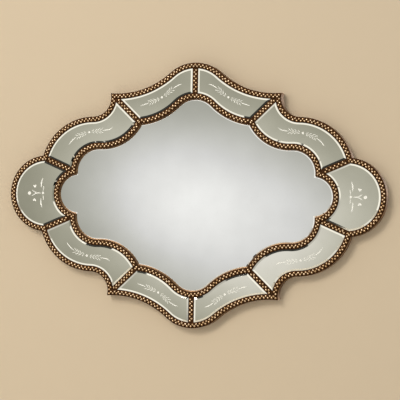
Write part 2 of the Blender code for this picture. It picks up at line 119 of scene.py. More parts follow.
# Edges sharper than these angles stay sharp
BEAD_SHARP = 60
MOULDING_SHARP = 50
DIVIDER_SHARP = 30
GLASS_SHARP = 3

# Wheel-cut sprigs. A cutter starts a little proud of the glass, and a stroke keeps a share of its
# width at its tips
CUT_DEPTH = 0.0005
CUT_PROUD = 0.0002
TIP_SHARE = 0.06
SWELL_POWER = 0.75
LEAF_LENGTHS = (0.0080, 0.0105, 0.0125, 0.0120)
LEAF_WIDTH = 0.0019
LEAF_SPREAD = 33.0
LEAF_STATIONS = (0.0065, 0.0140, 0.0215, 0.0290)
LEAF_ROOT = 0.0016
STEM_START = 0.005
STEM_WIDTH = 0.0011
END_STROKE_WIDTH = 0.0027
END_STROKE_LAP = 0.001
EYE_DIAMETER = 0.0062
EYE_SIDES = 16
EYE_RINGS = 8
SPINE_STEPS = 12
STEM_STEPS = 6
LEAF_STEPS = 6
END_STROKE_STEPS = 8


def heading_vector(heading):
    """Unit vector along a heading."""
    return Vector((math.cos(heading), math.sin(heading)))


def outward(heading):
    """Unit vector to the right of a heading, which is outwards on a counter-clockwise outline."""
    return Vector((math.sin(heading), -math.cos(heading)))


def wrapped(angle):
    """An angle brought between minus and plus half a turn."""
    return (angle + math.pi) % (2 * math.pi) - math.pi


def cross(a, b):
    """The turn from one flat vector to another, positive counter-clockwise."""
    return a.x * b.y - a.y * b.x


def arc_run(start, heading, end):
    """Places and headings along the arc that leaves start on a heading and reaches end."""
    chord = end - start
    half = wrapped(math.atan2(chord.y, chord.x) - heading)
    radius = chord.length / (2 * math.sin(half))
    places = []
    for step in range(ARC_STEPS + 1):
        turn = 2 * half * step / ARC_STEPS
        places.append((start + radius * (outward(heading + turn) - outward(heading)), heading + turn))
    return places


def s_curve_run(start, heading_in, end, heading_out, ratio):
    """Two arcs that meet smoothly, from start to end with a heading at each."""
    leave = heading_vector(heading_in)
    arrive = heading_vector(heading_out)
    chord = end - start
    reach = leave + arrive * ratio
    a = reach.dot(reach) - (1 + ratio) ** 2
    b = -2 * chord.dot(reach)
    root = math.sqrt(b * b - 4 * a * chord.dot(chord))
    first = max((-b - root) / (2 * a), (-b + root) / (2 * a))
    second = first * ratio
    middle = ((start + leave * first) * second + (end - arrive * second) * first) / (first + second)
    opening = arc_run(start, heading_in, middle)
    return opening + arc_run(middle, opening[-1][1], end)[1:]


def mirrored_left(run):
    """A run reflected to the other side of the middle, still counter-clockwise."""
    return [(Vector((-place.x, place.y)), -heading) for place, heading in reversed(run)]


def mirrored_down(run):
    """A run reflected below the middle, still counter-clockwise."""
    return [(Vector((place.x, -place.y)), math.pi - heading) for place, heading in reversed(run)]


def outline_runs(width, height, radius, sweep, notch_heading, corner, headings, ratios):
    """The eight smooth runs between the outline's corners, counter-clockwise from the right lobe."""
    centre = Vector((width / 2 - radius, 0))
    lobe_top = []
    for step in range(ARC_STEPS + 1):
        angle = math.radians(sweep) * step / ARC_STEPS
        lobe_top.append((centre + radius * heading_vector(angle), angle + math.pi / 2))
    notch = lobe_top[-1][0]
    corner = Vector(corner)
    heading_in, heading_out = (math.radians(heading) for heading in headings)
    side = s_curve_run(notch, math.radians(notch_heading), corner, heading_in, ratios[0])
    top_half = s_curve_run(corner, heading_out, Vector((0, height / 2)), math.pi, ratios[1])
    lobe = mirrored_down(lobe_top) + lobe_top[1:]
    top = top_half + mirrored_left(top_half)[1:]
    return [
        lobe,
        side,
        top,
        mirrored_left(side),
        mirrored_left(lobe),
        mirrored_down(mirrored_left(side)),
        mirrored_down(top),
        mirrored_down(side),
    ]


RIM_RUNS = outline_runs(OVERALL_WIDTH, OVERALL_HEIGHT, LOBE_RADIUS, LOBE_SWEEP, NOTCH_HEADING,
                        CUSP, CUSP_HEADINGS, CURVE_RATIOS)
OPENING_RUNS = outline_runs(OPENING_WIDTH, OPENING_HEIGHT, OPENING_LOBE_RADIUS, OPENING_LOBE_SWEEP,
                            OPENING_NOTCH_HEADING, CORNER, CORNER_HEADINGS, OPENING_CURVE_RATIOS)


def trimmed_start(places, corner, mitre):
    """A row of places cut where it first crosses the mitre line through a corner."""
    first_side = cross(mitre, places[0] - corner) > 0
    for index in range(1, len(places)):
        here = cross(mitre, places[index] - corner)
        if (here > 0) != first_side:
            before = cross(mitre, places[index - 1] - corner)
            crossing_place = places[index - 1].lerp(places[index], before / (before - here))
            return [crossing_place] + places[index:]
    return places


def offset_runs(runs, distance):
    """Each run moved outwards by a distance and mitred to the next one at the corners."""
    if not distance:
        return [[place for place, heading in run] for run in runs]
    moved = []
    reach = 4 * abs(distance)
    for run in runs:
        places = [place + outward(heading) * distance for place, heading in run]
        places.insert(0, places[0] - heading_vector(run[0][1]) * reach)
        places.append(places[-1] + heading_vector(run[-1][1]) * reach)
        moved.append(places)
    for index, run in enumerate(runs):
        last = runs[index - 1]
        turn = wrapped(run[0][1] - last[-1][1])
        mitre = outward(last[-1][1] + turn / 2)
        ending = trimmed_start(moved[index - 1][::-1], run[0][0], mitre)[::-1]
        opening = trimmed_start(moved[index], run[0][0], mitre)
        meeting = (ending[-1] + opening[0]) / 2
        moved[index - 1] = ending[:-1] + [meeting]
        moved[index] = [meeting] + opening[1:]
    return moved


def travelled(places):
    """The distance covered on reaching each place of a row."""
    lengths = [0.0]
    for a, b in zip(places, places[1:]):
        lengths.append(lengths[-1] + (b - a).length)
    return lengths


def at_distances(places, goals):
    """Places and directions at distances along a row, the distances in rising order."""
    lengths = travelled(places)
    found = []
    index = 0
    for goal in goals:
        while index < len(places) - 2 and lengths[index + 1] < goal:
            index += 1
        a, b = places[index], places[index + 1]
        share = (goal - lengths[index]) / (lengths[index + 1] - lengths[index])
        found.append((a.lerp(b, share), (b - a).normalized()))
    return found


def stretch(places, start, stop, steps):
    """Places in even steps from one distance along a row to another."""
    goals = [start + (stop - start) * step / steps for step in range(steps + 1)]
    return [place for place, along in at_distances(places, goals)]


def spaced(places, steps):
    """The whole of a row in even steps."""
    return stretch(places, 0.0, travelled(places)[-1], steps)


def smooth_loop(runs, distance):
    """A finely drawn closed loop at a distance outside an outline."""
    loop = []
    for run, places in zip(runs, offset_runs(runs, distance)):
        length = travelled([place for place, heading in run])[-1]
        loop.extend(spaced(places, round(length / CURVE_STEP))[:-1])
    return loop


class Line:
    """A straight line from an inner place to an outer one."""

    def __init__(self, inner_end, outer_end):
        self.inner_end = inner_end
        self.outer_end = outer_end
        self.along = (outer_end - inner_end).normalized()

    def beside(self, distance):
        """The same line moved to its left."""
        shift = Vector((-self.along.y, self.along.x)) * distance
        return Line(self.inner_end + shift, self.outer_end + shift)


def crossing(loop, line, near):
    """Where a closed loop crosses a line nearest to a place: its position on the loop, and the place."""
    found = []
    for index, here in enumerate(loop):
        there = loop[(index + 1) % len(loop)]
        a = cross(line.along, here - line.inner_end)
        b = cross(line.along, there - line.inner_end)
        if (a > 0) != (b > 0):
            place = here.lerp(there, a / (a - b))
            found.append(((place - near).length, index + a / (a - b), place))
    return min(found, key=lambda entry: entry[0])[1:]


def chain(loop, right, left, outer):
    """The part of a loop between two lines, counter-clockwise, with its ends on the lines."""
    start, first = crossing(loop, right, right.outer_end if outer else right.inner_end)
    stop, last = crossing(loop, left, left.outer_end if outer else left.inner_end)
    if stop < start:
        stop += len(loop)
    between = [loop[index % len(loop)] for index in range(math.floor(start) + 1, math.ceil(stop))]
    return [first] + between + [last]


def cell_ring(right, left, inset, counts):
    """The outline of a piece between the two mouldings and two lines, drawn in by an inset."""
    right = right.beside(inset)
    left = left.beside(-inset)
    outer = spaced(chain(FIELD_OUTER[inset], right, left, True), counts[0])
    inner = spaced(chain(FIELD_INNER[inset], right, left, False), counts[2])
    left_side = spaced([outer[-1], inner[-1]], counts[1])
    right_side = spaced([inner[0], outer[0]], counts[1])
    return outer[:-1] + left_side[:-1] + inner[::-1][:-1] + right_side[:-1]


# The field between the mouldings, as the dividers (full size and shouldered) and the panels
# (full size and at the top of the bevel) need it
INSETS = (0.0, SHOULDER, BEVEL_WIDTH)
FIELD_OUTER = {inset: smooth_loop(RIM_RUNS, -MOULDING_WIDTH - GAP - inset) for inset in INSETS}
FIELD_INNER = {inset: smooth_loop(OPENING_RUNS, MOULDING_WIDTH + GAP + inset) for inset in INSETS}


def divider_line(number):
    """The middle line of a divider, from the inner moulding's corner to the outer one's."""
    inner_end = offset_runs(OPENING_RUNS, MOULDING_WIDTH / 2)[number][0]
    outer_end = offset_runs(RIM_RUNS, -MOULDING_WIDTH / 2)[number][0]
    return Line(inner_end, outer_end)


def middle_line(sign):
    """The middle line of the upright divider above or below the centre glass."""
    inner_end = Vector((0, sign * (OPENING_HEIGHT + MOULDING_WIDTH) / 2))
    outer_end = Vector((0, sign * (OVERALL_HEIGHT - MOULDING_WIDTH) / 2))
    return Line(inner_end, outer_end)


# Dividers counter-clockwise from the one above the right lobe, and the panel after each one
DIVIDERS = [
    ("lobe_upper_right", divider_line(1)),
    ("corner_upper_right", divider_line(2)),
    ("top", middle_line(1)),
    ("corner_upper_left", divider_line(3)),
    ("lobe_upper_left", divider_line(4)),
    ("lobe_lower_left", divider_line(5)),
    ("corner_lower_left", divider_line(6)),
    ("bottom", middle_line(-1)),
    ("corner_lower_right", divider_line(7)),
    ("lobe_lower_right", divider_line(0)),
]
PANELS = [
    "side_upper_right",
    "top_right",
    "top_left",
    "side_upper_left",
    "lobe_left",
    "side_lower_left",
    "bottom_left",
    "bottom_right",
    "side_lower_right",
    "lobe_right",
]


def colour(code):
    """Linear red, green, blue and alpha from an sRGB hex colour."""
    shares = [int(code[place:place + 2], 16) / 255 for place in (1, 3, 5)]
    linear = [share / 12.92 if share <= 0.04045 else ((share + 0.055) / 1.055) ** 2.4 for share in shares]
    return (*linear, 1.0)


def per_mm(size):
    """The texture scale that gives a pattern its size in millimetres."""
    return 1000.0 / size


def add_node(tree, kind, values=None, links=None, stops=None, **properties):
    """Add a node: its properties, its socket values, its links and its colour stops."""
    made = tree.nodes.new(kind)
    for name, value in properties.items():
        setattr(made, name, value)
    for name, value in (values or {}).items():
        made.inputs[name].default_value = value
    for name, source in (links or {}).items():
        tree.links.new(source, made.inputs[name])
    if stops:
        ramp = made.color_ramp.elements
        ramp[0].position, ramp[0].color = stops[0]
        ramp[1].position, ramp[1].color = stops[-1]
        for position, shade in stops[1:-1]:
            ramp.new(position).color = shade
    return made


def new_material(name):
    """An empty material: its node tree, shader and object coordinates."""
    made = bpy.data.materials.new(name)
    made.use_nodes = True
    tree = made.node_tree
    shader = tree.nodes["Principled BSDF"]
    place = add_node(tree, "ShaderNodeTexCoord").outputs["Object"]
    return made, tree, shader, place


def bronze_beading():
    """Cast resin under antique bronze paint, rubbed back on the crests.
    It gives the eye bright copper-gold bead tops over nearly black hollows."""
    made, tree, shader, place = new_material("antique_bronze_beading")
    shader.inputs["Metallic"].default_value = 0.88
    depth = add_node(tree, "ShaderNodeSeparateXYZ", links={"Vector": place}).outputs["Y"]
    rise = add_node(tree, "ShaderNodeMapRange", {"From Min": DARKEST_Y, "From Max": CREST_Y},
                    {"Value": depth}).outputs["Result"]
    cloud = add_node(tree, "ShaderNodeTexNoise", {"Scale": per_mm(9), "Detail": 3.0}, {"Vector": place})
    worn = add_node(tree, "ShaderNodeMath", {1: 0.30}, {0: cloud.outputs["Fac"]}, operation="MULTIPLY")
    height = add_node(tree, "ShaderNodeMath", links={0: rise, 1: worn.outputs[0]}, operation="ADD")
    level = add_node(tree, "ShaderNodeMath", {1: -0.15}, {0: height.outputs[0]}, operation="ADD")
    patina = add_node(tree, "ShaderNodeValToRGB", links={"Fac": level.outputs[0]}, stops=[
        (0.0, colour("#1E0D02")), (0.30, colour("#48290D")), (0.60, colour("#7C522B")),
        (0.88, colour("#BC9665")), (1.0, colour("#EFD9BC"))])
    tree.links.new(patina.outputs["Color"], shader.inputs["Base Color"])
    gloss = add_node(tree, "ShaderNodeMapRange", {"To Min": 0.60, "To Max": 0.27},
                     {"Value": level.outputs[0]})
    tree.links.new(gloss.outputs["Result"], shader.inputs["Roughness"])
    grain = add_node(tree, "ShaderNodeTexNoise", {"Scale": per_mm(1.2), "Detail": 4.0}, {"Vector": place})
    bump = add_node(tree, "ShaderNodeBump", {"Strength": 0.15, "Distance": 0.0002},
                    {"Height": grain.outputs["Fac"]})
    tree.links.new(bump.outputs["Normal"], shader.inputs["Normal"])
    return made


def bronze_wall():
    """The plain side walls of the mouldings, brushed with the same bronze paint.
    It gives the eye a smooth golden brown with faint upright brush marks."""
    made, tree, shader, place = new_material("antique_bronze_wall")
    shader.inputs["Metallic"].default_value = 0.75
    cloud = add_node(tree, "ShaderNodeTexNoise", {"Scale": per_mm(22), "Detail": 5.0}, {"Vector": place})
    tone = add_node(tree, "ShaderNodeValToRGB", links={"Fac": cloud.outputs["Fac"]}, stops=[
        (0.25, colour("#5F452B")), (0.55, colour("#80603E")), (0.80, colour("#9A7850"))])
    tree.links.new(tone.outputs["Color"], shader.inputs["Base Color"])
    gloss = add_node(tree, "ShaderNodeMapRange", {"To Min": 0.34, "To Max": 0.52},
                     {"Value": cloud.outputs["Fac"]})
    tree.links.new(gloss.outputs["Result"], shader.inputs["Roughness"])
    stretched = add_node(tree, "ShaderNodeMapping", {"Scale": (1.0, 0.08, 1.0)}, {"Vector": place})
    marks = add_node(tree, "ShaderNodeTexNoise", {"Scale": per_mm(0.9), "Detail": 2.0},
                     {"Vector": stretched.outputs["Vector"]})
    bump = add_node(tree, "ShaderNodeBump", {"Strength": 0.12, "Distance": 0.0002},
                    {"Height": marks.outputs["Fac"]})
    tree.links.new(bump.outputs["Normal"], shader.inputs["Normal"])
    return made


def silvered_glass(name, clear, veiled, haze):
    """Float glass silvered on its back.
    It gives the eye a clean reflection with a slight green-grey cast and uneven clouding."""
    made, tree, shader, place = new_material(name)
    shader.inputs["Metallic"].default_value = 1.0
    cloud = add_node(tree, "ShaderNodeTexNoise", {"Scale": per_mm(70), "Detail": 4.0}, {"Vector": place})
    tone = add_node(tree, "ShaderNodeValToRGB", links={"Fac": cloud.outputs["Fac"]}, stops=[
        (0.30, colour(veiled)), (0.70, colour(clear))])
    tree.links.new(tone.outputs["Color"], shader.inputs["Base Color"])
    veil = add_node(tree, "ShaderNodeMapRange", {"To Min": 0.01, "To Max": haze},
                    {"Value": cloud.outputs["Fac"]})
    tree.links.new(veil.outputs["Result"], shader.inputs["Roughness"])
    return made


def ground_edge():
    """The ground edge of float glass under its bevel.
    It gives the eye the dull green of thick glass seen from the side."""
    made, tree, shader, place = new_material("ground_glass_edge")
    speck = add_node(tree, "ShaderNodeTexNoise", {"Scale": per_mm(0.8), "Detail": 2.0}, {"Vector": place})
    tone = add_node(tree, "ShaderNodeValToRGB", links={"Fac": speck.outputs["Fac"]}, stops=[
        (0.3, colour("#5F7468")), (0.7, colour("#93A89B"))])
    tree.links.new(tone.outputs["Color"], shader.inputs["Base Color"])
    shader.inputs["Roughness"].default_value = 0.55
    return made


def frosted_cut():
    """Wheel-cut glass left unpolished.
    It gives the eye soft white strokes with a fine sparkle."""
    made, tree, shader, place = new_material("frosted_wheel_cut")
    speck = add_node(tree, "ShaderNodeTexNoise", {"Scale": per_mm(0.5), "Detail": 2.0}, {"Vector": place})
    tone = add_node(tree, "ShaderNodeValToRGB", links={"Fac": speck.outputs["Fac"]}, stops=[
        (0.3, colour("#E4E6DF")), (0.7, colour("#FBFBF6"))])
    tree.links.new(tone.outputs["Color"], shader.inputs["Base Color"])
    shader.inputs["Roughness"].default_value = 0.5
    return made


def painted_board():
    """Fibreboard rolled with matt black paint.
    It gives the eye a flat near-black with a faint roller stipple."""
    made, tree, shader, place = new_material("black_painted_fibreboard")
    stipple = add_node(tree, "ShaderNodeTexNoise", {"Scale": per_mm(2.5), "Detail": 5.0}, {"Vector": place})
    tone = add_node(tree, "ShaderNodeValToRGB", links={"Fac": stipple.outputs["Fac"]}, stops=[
        (0.3, colour("#201E1C")), (0.7, colour("#2E2B28"))])
    tree.links.new(tone.outputs["Color"], shader.inputs["Base Color"])
    shader.inputs["Roughness"].default_value = 0.72
    bump = add_node(tree, "ShaderNodeBump", {"Strength": 0.25, "Distance": 0.0004},
                    {"Height": stipple.outputs["Fac"]})
    tree.links.new(bump.outputs["Normal"], shader.inputs["Normal"])
    return made


def zinc_steel():
    """Stamped steel with bright zinc plating.
    It gives the eye a cool grey with cloudy patches."""
    made, tree, shader, place = new_material("zinc_plated_steel")
    shader.inputs["Metallic"].default_value = 1.0
    cloud = add_node(tree, "ShaderNodeTexNoise", {"Scale": per_mm(5), "Detail": 3.0}, {"Vector": place})
    tone = add_node(tree, "ShaderNodeValToRGB", links={"Fac": cloud.outputs["Fac"]}, stops=[
        (0.3, colour("#9A9C9E")), (0.7, colour("#C9CBCC"))])
    tree.links.new(tone.outputs["Color"], shader.inputs["Base Color"])
    gloss = add_node(tree, "ShaderNodeMapRange", {"To Min": 0.25, "To Max": 0.45},
                     {"Value": cloud.outputs["Fac"]})
    tree.links.new(gloss.outputs["Result"], shader.inputs["Roughness"])
    return made


BEADING = bronze_beading()
WALL_BRONZE = bronze_wall()
CENTRE_SILVER = silvered_glass("silvered_centre_glass", "#F3F3F0", "#EDEDEA", 0.03)
PANEL_SILVER = silvered_glass("silvered_panel_glass", "#FCF9EC", "#F2EFE2", 0.05)
GLASS_EDGE = ground_edge()
FROST = frosted_cut()
BOARD_PAINT = painted_board()
ZINC = zinc_steel()


def deselect():
    """Clear the selection."""
    bpy.ops.object.select_all(action="DESELECT")


def only(piece):
    """Select one piece and make it active."""
    deselect()
    piece.select_set(True)
    bpy.context.view_layer.objects.active = piece


def settle(piece, ring):
    """Move the selected corners to their places on a ring."""
    mesh = bmesh.from_edit_mesh(piece.data)
    order = mesh.verts.layers.int["order"]
    for corner in mesh.verts:
        if corner.select:
            corner.co = ring[corner[order]]
    bmesh.update_edit_mesh(piece.data)


def extruded_rings(name, rings, closed):
    """A body drawn out of one loop of corners from ring to ring. A closed one joins its last
    ring to its first; the others are filled at both ends."""
    deselect()
    bpy.ops.mesh.primitive_circle_add(vertices=len(rings[0]), fill_type="NOTHING")
    piece = bpy.context.object
    piece.name = name
    piece.data.name = name
    order = piece.data.attributes.new("order", "INT", "POINT")
    order.data.foreach_set("value", list(range(len(rings[0]))))
    bpy.ops.object.mode_set(mode="EDIT")
    bpy.ops.mesh.select_mode(type="EDGE")
    bpy.ops.mesh.select_all(action="SELECT")
    settle(piece, rings[0])
    if not closed:
        bpy.ops.mesh.edge_face_add()
    for ring in rings[1:] + (rings[:1] if closed else []):
        bpy.ops.mesh.extrude_edges_move()
        settle(piece, ring)
    if not closed:
        bpy.ops.mesh.edge_face_add()
    bpy.ops.mesh.select_all(action="SELECT")
    if closed:
        bpy.ops.mesh.remove_doubles(threshold=SAME_PLACE)
    bpy.ops.mesh.normals_make_consistent(inside=False)
    bpy.ops.object.mode_set(mode="OBJECT")
    piece.data.attributes.remove(piece.data.attributes["order"])
    return piece


def level_ring(places, level):
    """A loop of flat places at one level."""
    return [Vector((place.x, level, place.y)) for place in places]


def smooth_below(piece, degrees):
    """Shade smooth, leaving edges sharper than an angle."""
    only(piece)
    bpy.ops.object.shade_smooth_by_angle(angle=math.radians(degrees))


def model_bead():
    """One bead: a ball with its back cut off flat, a little below the band."""
    deselect()
    bpy.ops.mesh.primitive_uv_sphere_add(segments=BEAD_SIDES, ring_count=BEAD_RINGS,
                                         radius=BEAD_DIAMETER / 2)
    bead = bpy.context.object
    bead.name = "bead"
    bpy.ops.object.mode_set(mode="EDIT")
    bpy.ops.mesh.select_all(action="SELECT")
    bpy.ops.transform.rotate(value=math.pi / 2, orient_axis="X", center_override=(0, 0, 0))
    bpy.ops.mesh.bisect(plane_co=(0, BEAD_SINK, 0), plane_no=(0, 1, 0), clear_outer=True, use_fill=True)
    bpy.ops.mesh.select_all(action="SELECT")
    bpy.ops.mesh.normals_make_consistent(inside=False)
    bpy.ops.object.mode_set(mode="OBJECT")
    bead.data.materials.append(BEADING)
    smooth_below(bead, BEAD_SHARP)
    return bead


BEAD = model_bead()


def join_beads(body, places):
    """Copy the bead to each flat place along a band and join the copies to the moulding."""
    copies = []
    for place in places:
        copy = bpy.data.objects.new("bead", BEAD.data.copy())
        copy.data.transform(Matrix.Translation((place.x, BAND_Y, place.y)))
        bpy.context.scene.collection.objects.link(copy)
        copies.append(copy)
    deselect()
    for copy in copies:
        copy.select_set(True)
    body.select_set(True)
    bpy.context.view_layer.objects.active = body
    bpy.ops.object.join()


def paint_moulding(piece):
    """Bronze beading on the band and plain bronze on the side walls."""
    piece.data.materials.append(BEADING)
    piece.data.materials.append(WALL_BRONZE)
    for face in piece.data.polygons:
        face.material_index = 0 if face.center.y < BAND_Y + SHOULDER / 4 else 1


def bead_places(runs, middle):
    """Two staggered rows of bead places right round an outline, on both sides of a band's middle.
    A corner of the inner row takes a bead of its own where there is room."""
    places = []
    outer_rows = offset_runs(runs, middle + BEAD_ROW_SPACING / 2)
    inner_rows = offset_runs(runs, middle - BEAD_ROW_SPACING / 2)
    ends = []
    for number, row in enumerate(outer_rows):
        full = travelled(row)[-1]
        count = round(full / BEAD_PITCH)
        pitch = full / count
        places.extend(place for place, along in at_distances(row, [pitch * k for k in range(count)]))
        inner = []
        for place, along in at_distances(row, [pitch * (k + 0.5) for k in range(count)]):
            inner.append(place + Vector((-along.y, along.x)) * BEAD_ROW_SPACING)
        inner = [place for place in inner if inside_mitres(place, runs, number)]
        ends.append((inner[0], inner[-1]))
        places.extend(inner)
    for number, row in enumerate(inner_rows):
        corner = row[0]
        gaps = [(corner - ends[number][0]).length, (corner - ends[number - 1][1]).length]
        if min(gaps) > CORNER_CLEARANCE:
            places.append(corner)
    return places


def inside_mitres(place, runs, number):
    """Whether a bead on a run keeps nearly half its width clear of the mitres at both ends."""
    run = runs[number]
    before = runs[number - 1]
    after = runs[(number + 1) % len(runs)]
    for corner, first, second, sign in (
        (run[0][0], before[-1][1], run[0][1], 1),
        (run[-1][0], run[-1][1], after[0][1], -1),
    ):
        if (place - corner).length > 4 * MOULDING_WIDTH:
            continue
        mitre = outward(first + wrapped(second - first) / 2)
        if sign * cross(mitre, place - corner) < MITRE_CLEARANCE:
            return False
    return True


def make_moulding(name, node, runs, outer_distance, foot_y):
    """A beaded moulding round an outline, from its foot to the bead crests."""
    shoulder_y = BAND_Y + SHOULDER
    ease = 0.3 * SHOULDER
    profile = [
        (0.0, foot_y),
        (0.0, shoulder_y),
        (ease, BAND_Y + ease),
        (SHOULDER, BAND_Y),
        (MOULDING_WIDTH / 2, BAND_Y),
        (MOULDING_WIDTH - SHOULDER, BAND_Y),
        (MOULDING_WIDTH - ease, BAND_Y + ease),
        (MOULDING_WIDTH, shoulder_y),
        (MOULDING_WIDTH, foot_y),
    ]
    rings = [level_ring(smooth_loop(runs, outer_distance - inset), level) for inset, level in profile]
    piece = extruded_rings(name, rings, closed=True)
    paint_moulding(piece)
    smooth_below(piece, MOULDING_SHARP)
    join_beads(piece, bead_places(runs, outer_distance - MOULDING_WIDTH / 2))
    finish_piece(piece, node)


def finish_piece(piece, node):
    """Say what a piece rides on, and hide the CAD node that it stands for."""
    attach(piece, "root")
    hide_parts(node)


def make_divider(word, line):
    """A short beaded bar between the mouldings, its two rows of beads staggered like theirs."""
    half = MOULDING_WIDTH / 2
    full = cell_ring(line.beside(-half), line.beside(half), 0.0, DIVIDER_STEPS)
    shouldered = cell_ring(line.beside(-half), line.beside(half), SHOULDER, DIVIDER_STEPS)
    rings = [
        level_ring(full, BOARD_FRONT_Y - GAP),
        level_ring(full, BAND_Y + SHOULDER),
        level_ring(shouldered, BAND_Y),
    ]
    piece = extruded_rings("bar_" + word, rings, closed=False)
    paint_moulding(piece)
    smooth_below(piece, DIVIDER_SHARP)
    places = []
    for row, shift in enumerate((-BEAD_ROW_SPACING / 2, BEAD_ROW_SPACING / 2)):
        side = line.beside(shift)
        start = crossing(FIELD_INNER[0.0], side, side.inner_end)[1]
        stop = crossing(FIELD_OUTER[0.0], side, side.outer_end)[1]
        low = (start - side.inner_end).dot(side.along) + END_MARGIN
        high = (stop - side.inner_end).dot(side.along) - END_MARGIN
        if row == 0:
            base = low
            count = round((high - base) / BEAD_PITCH)
            pitch = (high - base) / count
        for k in range(-SPARE_BEADS, count + SPARE_BEADS + 1):
            along = base + pitch * (k + 0.5 * row)
            if low - END_SLACK <= along <= high + END_SLACK:
                places.append(side.inner_end + side.along * along)
    join_beads(piece, places)
    finish_piece(piece, "divider_" + word)


def paint_glass(piece, silver):
    """Silver on the faces that look at the room, front and bevels, and ground glass on the rest."""
    piece.data.materials.append(silver)
    piece.data.materials.append(GLASS_EDGE)
    for face in piece.data.polygons:
        face.material_index = 0 if face.normal.y < -0.5 else 1


def smooth_spine(knots, steps):
    """Places along a smooth curve through knots."""
    places = []
    for index in range(len(knots) - 1):
        a = knots[max(0, index - 1)]
        b, c = knots[index], knots[index + 1]
        d = knots[min(len(knots) - 1, index + 2)]
        for step in range(steps):
            t = step / steps
            places.append(0.5 * (2 * b + (c - a) * t + (2 * a - 5 * b + 4 * c - d) * t * t
                                 + (3 * b - a - 3 * c + d) * t ** 3))
    return places + [knots[-1]]


def model_stroke(places, width, steps):
    """A cutter for one wheel-cut stroke: a flat spindle, pointed at both ends."""
    row = spaced(places, steps)
    rings = []
    for index, place in enumerate(row):
        ahead = row[min(steps, index + 1)] - row[max(0, index - 1)]
        side = Vector((-ahead.y, ahead.x)).normalized()
        swell = max(TIP_SHARE, math.sin(math.pi * index / steps) ** SWELL_POWER)
        ring = []
        for corner in range(STROKE_SIDES):
            angle = 2 * math.pi * (corner + 0.5) / STROKE_SIDES
            across = place + side * (width / 2 * swell * math.cos(angle))
            level = PANEL_FRONT_Y - CUT_PROUD + (CUT_DEPTH + CUT_PROUD) * swell * math.sin(angle)
            ring.append(Vector((across.x, level, across.y)))
        rings.append(ring)
    stroke = extruded_rings("stroke", rings, closed=False)
    stroke.data.materials.append(FROST)
    return stroke


def model_eye(place, diameter):
    """A cutter for one round hollow."""
    deselect()
    bpy.ops.mesh.primitive_uv_sphere_add(segments=EYE_SIDES, ring_count=EYE_RINGS, radius=diameter / 2,
                                         location=(place.x, PANEL_FRONT_Y - CUT_PROUD, place.y))
    eye = bpy.context.object
    bpy.ops.object.mode_set(mode="EDIT")
    bpy.ops.mesh.select_all(action="SELECT")
    bpy.ops.transform.rotate(value=math.pi / 2, orient_axis="X", center_override=eye.location)
    squeeze = (CUT_DEPTH + CUT_PROUD) / (diameter / 2)
    bpy.ops.transform.resize(value=(1, squeeze, 1), center_override=eye.location)
    bpy.ops.object.mode_set(mode="OBJECT")
    bpy.ops.object.transform_apply(location=True, rotation=True, scale=True)
    eye.data.materials.append(FROST)
    return eye


def straight(start, angle, length):
    """The two ends of a straight stroke."""
    return [start, start + heading_vector(angle) * length]


def sprig(knots, eye_knot, sign_x, sign_z):
    """Cutters for a sprig: a stem with paired leaves each side of an eye, and an end stroke each way."""
    knots = [Vector((x * sign_x, z * sign_z)) for x, z in knots]
    spine = smooth_spine(knots, SPINE_STEPS)
    eye = knots[eye_knot]
    nearest = min(range(len(spine)), key=lambda index: (spine[index] - eye).length)
    arms = [spine[nearest:], spine[nearest::-1]]
    cutters = [model_eye(eye, EYE_DIAMETER)]
    for arm in arms:
        stem_end = LEAF_STATIONS[-1] + 0.5 * LEAF_LENGTHS[-1]
        stem = stretch(arm, STEM_START, stem_end, STEM_STEPS)
        cutters.append(model_stroke(stem, STEM_WIDTH, STEM_STEPS))
        for (place, along), length in zip(at_distances(arm, LEAF_STATIONS), LEAF_LENGTHS):
            heading = math.atan2(along.y, along.x)
            for side in (1, -1):
                angle = heading + side * math.radians(LEAF_SPREAD)
                start = place + heading_vector(angle) * LEAF_ROOT
                cutters.append(model_stroke(straight(start, angle, length), LEAF_WIDTH, LEAF_STEPS))
        end = stretch(arm, stem_end - END_STROKE_LAP, travelled(arm)[-1], END_STROKE_STEPS)
        cutters.append(model_stroke(end, END_STROKE_WIDTH, END_STROKE_STEPS))
    return cutters


# Knots of the sprigs in the upper right quarter, tip to tip through the eye
SIDE_SPRIG = [(0.2235, 0.1805), (0.2340, 0.1710), (0.2890, 0.1635), (0.3280, 0.1485), (0.3480, 0.1275)]
TOP_SPRIG = [(0.0335, 0.2910), (0.0520, 0.2845), (0.0900, 0.2560), (0.1320, 0.2390), (0.1500, 0.2335)]
SPRIG_EYE = 2

# The bud in the right lobe: round hollows as place and diameter, strokes as knots and width
LOBE_SPINE_STEPS = 6
LOBE_EYES = [((0.4542, 0.0003), 0.0096), ((0.4160, 0.0010), 0.0072)]
LOBE_STROKES = [
    ([(0.4195, 0.0006), (0.4320, 0.0006), (0.4415, 0.0048), (0.4492, 0.0098)], 0.0026),
    ([(0.4195, 0.0006), (0.4320, 0.0006), (0.4415, -0.0036), (0.4492, -0.0086)], 0.0026),
    ([(0.4165, 0.0425), (0.4205, 0.0300), (0.4212, 0.0135)], 0.0037),
    ([(0.4218, -0.0110), (0.4212, -0.0260), (0.4175, -0.0405)], 0.0036),
    ([(0.4138, 0.0205), (0.4150, 0.0120), (0.4155, 0.0055)], 0.0024),
    ([(0.4155, -0.0035), (0.4150, -0.0115), (0.4135, -0.0190)], 0.0024),
    ([(0.4372, 0.0150), (0.4400, 0.0185), (0.4445, 0.0215)], 0.0056),
    ([(0.4405, 0.0148), (0.4385, 0.0185), (0.4350, 0.0232)], 0.0050),
    ([(0.4372, -0.0136), (0.4400, -0.0171), (0.4445, -0.0201)], 0.0056),
    ([(0.4405, -0.0134), (0.4385, -0.0171), (0.4350, -0.0218)], 0.0050),
]


